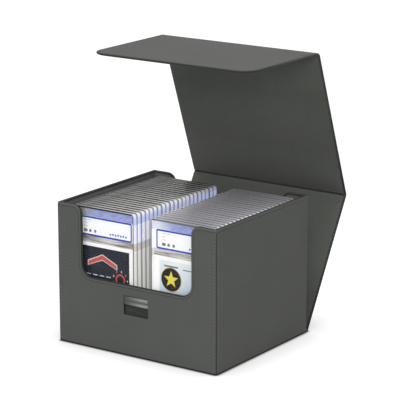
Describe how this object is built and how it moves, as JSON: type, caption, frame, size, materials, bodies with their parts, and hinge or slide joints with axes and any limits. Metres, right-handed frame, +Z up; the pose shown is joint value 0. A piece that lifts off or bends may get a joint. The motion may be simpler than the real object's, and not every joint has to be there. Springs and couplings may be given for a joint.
{
  "type": "graded card storage case",
  "caption": "Open-topped box for two rows of graded card slabs, wrapped in artificial leather, with front and rear windows and a lid of three folding panels with a magnetic flap.",
  "frame": {"origin": "bottom centre of the open box, without its lid, on the surface the case stands on", "axes": "+X to the right seen from the front, +Y to the back, +Z up"},
  "size_m": [0.21, 0.2614, 0.3144],
  "materials": {
    "leatherette": "fine grained artificial leather, matt grey green",
    "microfibre": "short brushed microfibre, dark grey",
    "greyboard": "pressed greyboard",
    "foam": "dense closed cell foam",
    "dark_plastic": "moulded, matt",
    "plate_steel": "satin steel, bare",
    "magnet": "plated magnet",
    "clear_plastic": "clear moulded polystyrene",
    "label_paper": "white label with a blue border",
    "card_stock": null,
    "frame_plastic": "white frosted plastic"
  },
  "bodies": {
    "case": {"wall_skin": "leatherette", "wall_lining": "microfibre", "rim_binding": "leatherette", "base_skin": "leatherette", "base_board": "greyboard", "left_wall_board": "greyboard", "right_wall_board": "greyboard", "front_wall_board": "greyboard", "back_wall_board": "greyboard", "floor_pad": "foam", "floor_lining": "microfibre", "catch_cup": "dark_plastic", "strike_plate": "plate_steel", "base_hinge_strip": "leatherette"},
    "rear_panel": {"rear_panel_skin": "leatherette", "rear_panel_board": "greyboard", "rear_panel_lining": "microfibre"},
    "crease_strip": {"crease_strip_skin": "leatherette", "crease_strip_lining": "microfibre"},
    "top_panel": {"top_panel_skin": "leatherette", "top_panel_board": "greyboard", "top_panel_lining": "microfibre"},
    "front_strip": {"front_strip_skin": "leatherette", "front_strip_lining": "microfibre"},
    "flap": {"flap_skin": "leatherette", "flap_board": "greyboard", "flap_lining": "microfibre", "flap_magnets": "magnet"},
    "left_front_slab": {"left_front_slab_front_shell": "clear_plastic", "left_front_slab_back_shell": "clear_plastic", "left_front_slab_label": "label_paper", "left_front_slab_card_frame": "frame_plastic", "left_front_slab_card": "card_stock"},
    "left_row": {"left_row_front_shells": "clear_plastic", "left_row_back_shells": "clear_plastic", "left_row_labels": "label_paper", "left_row_card_frames": "frame_plastic", "left_row_cards": "card_stock"},
    "right_front_slab": {"right_front_slab_front_shell": "clear_plastic", "right_front_slab_back_shell": "clear_plastic", "right_front_slab_label": "label_paper", "right_front_slab_card_frame": "frame_plastic", "right_front_slab_card": "card_stock"},
    "right_row": {"right_row_front_shells": "clear_plastic", "right_row_back_shells": "clear_plastic", "right_row_labels": "label_paper", "right_row_card_frames": "frame_plastic", "right_row_cards": "card_stock"}
  },
  "joints": [
    {"name": "base_hinge", "type": "hinge", "parent": "case", "child": "rear_panel", "pos_m": [0, 0.0923, 0], "axis": [-1, 0, 0], "range_deg": [-29.7, 60.3]},
    {"name": "crease_lower_fold", "type": "hinge", "parent": "rear_panel", "child": "crease_strip", "pos_m": [0, 0.17143, 0.13873], "axis": [-1, 0, 0], "range_deg": [-20.1, 24.9]},
    {"name": "crease_upper_fold", "type": "hinge", "parent": "crease_strip", "child": "top_panel", "pos_m": [0, 0.17189, 0.14421], "axis": [-1, 0, 0], "range_deg": [-20.1, 24.9]},
    {"name": "front_upper_fold", "type": "hinge", "parent": "top_panel", "child": "front_strip", "pos_m": [0, 0.11078, 0.3112], "axis": [-1, 0, 0], "range_deg": [-10.05, 34.95]},
    {"name": "front_lower_fold", "type": "hinge", "parent": "front_strip", "child": "flap", "pos_m": [0, 0.10627, 0.31435], "axis": [-1, 0, 0], "range_deg": [-10.05, 34.95]},
    {"name": "left_front_slab_lift", "type": "slide", "parent": "case", "child": "left_front_slab", "axis": [0, 0, 1], "range_m": [0, 0.142]},
    {"name": "left_row_lift", "type": "slide", "parent": "case", "child": "left_row", "axis": [0, 0, 1], "range_m": [0, 0.142]},
    {"name": "right_front_slab_lift", "type": "slide", "parent": "case", "child": "right_front_slab", "axis": [0, 0, 1], "range_m": [0, 0.142]},
    {"name": "right_row_lift", "type": "slide", "parent": "case", "child": "right_row", "axis": [0, 0, 1], "range_m": [0, 0.142]}
  ]
}
